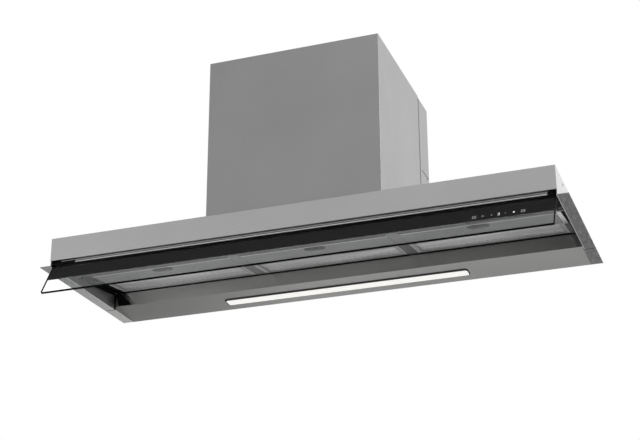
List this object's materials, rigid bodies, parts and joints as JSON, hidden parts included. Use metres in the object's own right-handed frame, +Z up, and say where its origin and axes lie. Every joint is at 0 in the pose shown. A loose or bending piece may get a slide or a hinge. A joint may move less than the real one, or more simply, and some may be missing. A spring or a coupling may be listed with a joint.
{
  "type": "pull out range hood",
  "caption": "Built-in range hood with a low stainless canopy, swing-out glass visor with touch band, tilting grease filters, LED light and motor box.",
  "frame": {"origin": "middle of the front bar's face, at the height of the side strips' underside", "axes": "+X to the right along the front bar, +Y to the back, +Z up"},
  "size_m": [0.898, 0.3448, 0.4455],
  "materials": {
    "canopy_steel": "brushed stainless sheet",
    "fascia_steel": "long-grain brushed stainless",
    "panel_steel": "brushed stainless sheet, darker in the recess",
    "box_steel": "smooth zinc-coated sheet",
    "glass": "clear toughened glass, polished edges",
    "band": "black, seen through the glass",
    "rail": "satin anodised",
    "cap": "black, fine texture",
    "pin": "turned steel",
    "board": "green board",
    "frame": "stainless filter frame",
    "mesh": "expanded aluminium sheet",
    "latch": "dark grey moulding",
    "bar": "dull folded sheet",
    "side_bar": "light extruded rail",
    "lens": "milky diffuser",
    "gasket": "black seal",
    "housing_plastic": "dark grey moulding",
    "impeller": "dark moulding",
    "motor": "cast and machined",
    "capacitor": "pale can",
    "white_plastic": "light grey moulding",
    "magnet": "nickel plated"
  },
  "bodies": {
    "housing": {"canopy_top": "canopy_steel", "end_panel_left": "canopy_steel", "end_panel_right": "canopy_steel", "fascia": "fascia_steel", "front_plate": "panel_steel", "light_tray": "canopy_steel", "hinge_pin_left": "pin", "hinge_pin_right": "pin", "catch_block_left": "cap", "catch_block_right": "cap", "catch_magnets": "magnet", "separator_left": "bar", "separator_right": "bar", "side_rail_left": "side_bar", "side_rail_right": "side_bar", "led_profile": "rail", "led_board": "white_plastic", "led_diffuser": "lens", "led_gasket": "gasket", "led_driver": "white_plastic", "box_front": "box_steel", "box_rear": "box_steel", "box_top": "box_steel", "scroll_left": "housing_plastic", "scroll_right": "housing_plastic", "motor": "motor", "motor_bracket": "motor", "capacitor": "capacitor", "outlet_collar": "housing_plastic", "flap_axle": "pin", "collar_screws": "pin", "electronics_box": "white_plastic", "electronics_cover": "white_plastic", "power_board": "board", "cable_gland": "cap"},
    "visor": {"visor_glass": "glass", "band_carrier": "band", "visor_rail": "rail", "end_cap_left": "cap", "end_cap_right": "cap", "touch_board": "board", "touch_cover": "cap"},
    "filter_left": {"filter_frame_left": "frame", "filter_mesh_left": "mesh"},
    "filter_centre": {"filter_frame_centre": "frame", "filter_mesh_centre": "mesh"},
    "filter_right": {"filter_frame_right": "frame", "filter_mesh_right": "mesh"},
    "latch_left": {"latch_left": "latch"},
    "latch_centre": {"latch_centre": "latch"},
    "latch_right": {"latch_right": "latch"},
    "fan": {"impeller_disc": "impeller", "impeller_ring_left": "impeller", "impeller_ring_right": "impeller", "impeller_blades_left": "impeller", "impeller_blades_right": "impeller", "motor_shaft": "pin"},
    "flap_front": {"flap_front": "housing_plastic"},
    "flap_rear": {"flap_rear": "housing_plastic"}
  },
  "joints": [
    {"name": "visor_hinge", "type": "hinge", "parent": "housing", "child": "visor", "pos_m": [0, 0.0173, 0.0075], "axis": [1, 0, 0], "range_deg": [0, 120]},
    {"name": "filter_tilt_left", "type": "hinge", "parent": "housing", "child": "filter_left", "pos_m": [-0.28, 0.2354, 0.0317], "axis": [1, 0, 0], "range_deg": [0, 60]},
    {"name": "latch_slide_left", "type": "slide", "parent": "filter_left", "child": "latch_left", "axis": [0, 0.9924, 0.1229], "range_m": [0, 0.004], "stiffness_N_per_m": 300, "springref_m": -0.004},
    {"name": "filter_tilt_centre", "type": "hinge", "parent": "housing", "child": "filter_centre", "pos_m": [0, 0.2354, 0.0317], "axis": [1, 0, 0], "range_deg": [0, 60]},
    {"name": "latch_slide_centre", "type": "slide", "parent": "filter_centre", "child": "latch_centre", "axis": [0, 0.9924, 0.1229], "range_m": [0, 0.004], "stiffness_N_per_m": 300, "springref_m": -0.004},
    {"name": "filter_tilt_right", "type": "hinge", "parent": "housing", "child": "filter_right", "pos_m": [0.28, 0.2354, 0.0317], "axis": [1, 0, 0], "range_deg": [0, 60]},
    {"name": "latch_slide_right", "type": "slide", "parent": "filter_right", "child": "latch_right", "axis": [0, 0.9924, 0.1229], "range_m": [0, 0.004], "stiffness_N_per_m": 300, "springref_m": -0.004},
    {"name": "fan_spin", "type": "hinge", "parent": "housing", "child": "fan", "pos_m": [0, 0.13, 0.172], "axis": [1, 0, 0], "continuous": true},
    {"name": "flap_front_swing", "type": "hinge", "parent": "housing", "child": "flap_front", "pos_m": [0, 0.2, 0.3565], "axis": [-1, 0, 0], "range_deg": [0, 70]},
    {"name": "flap_rear_swing", "type": "hinge", "parent": "housing", "child": "flap_rear", "pos_m": [0, 0.2, 0.3565], "axis": [1, 0, 0], "range_deg": [0, 70]}
  ]
}
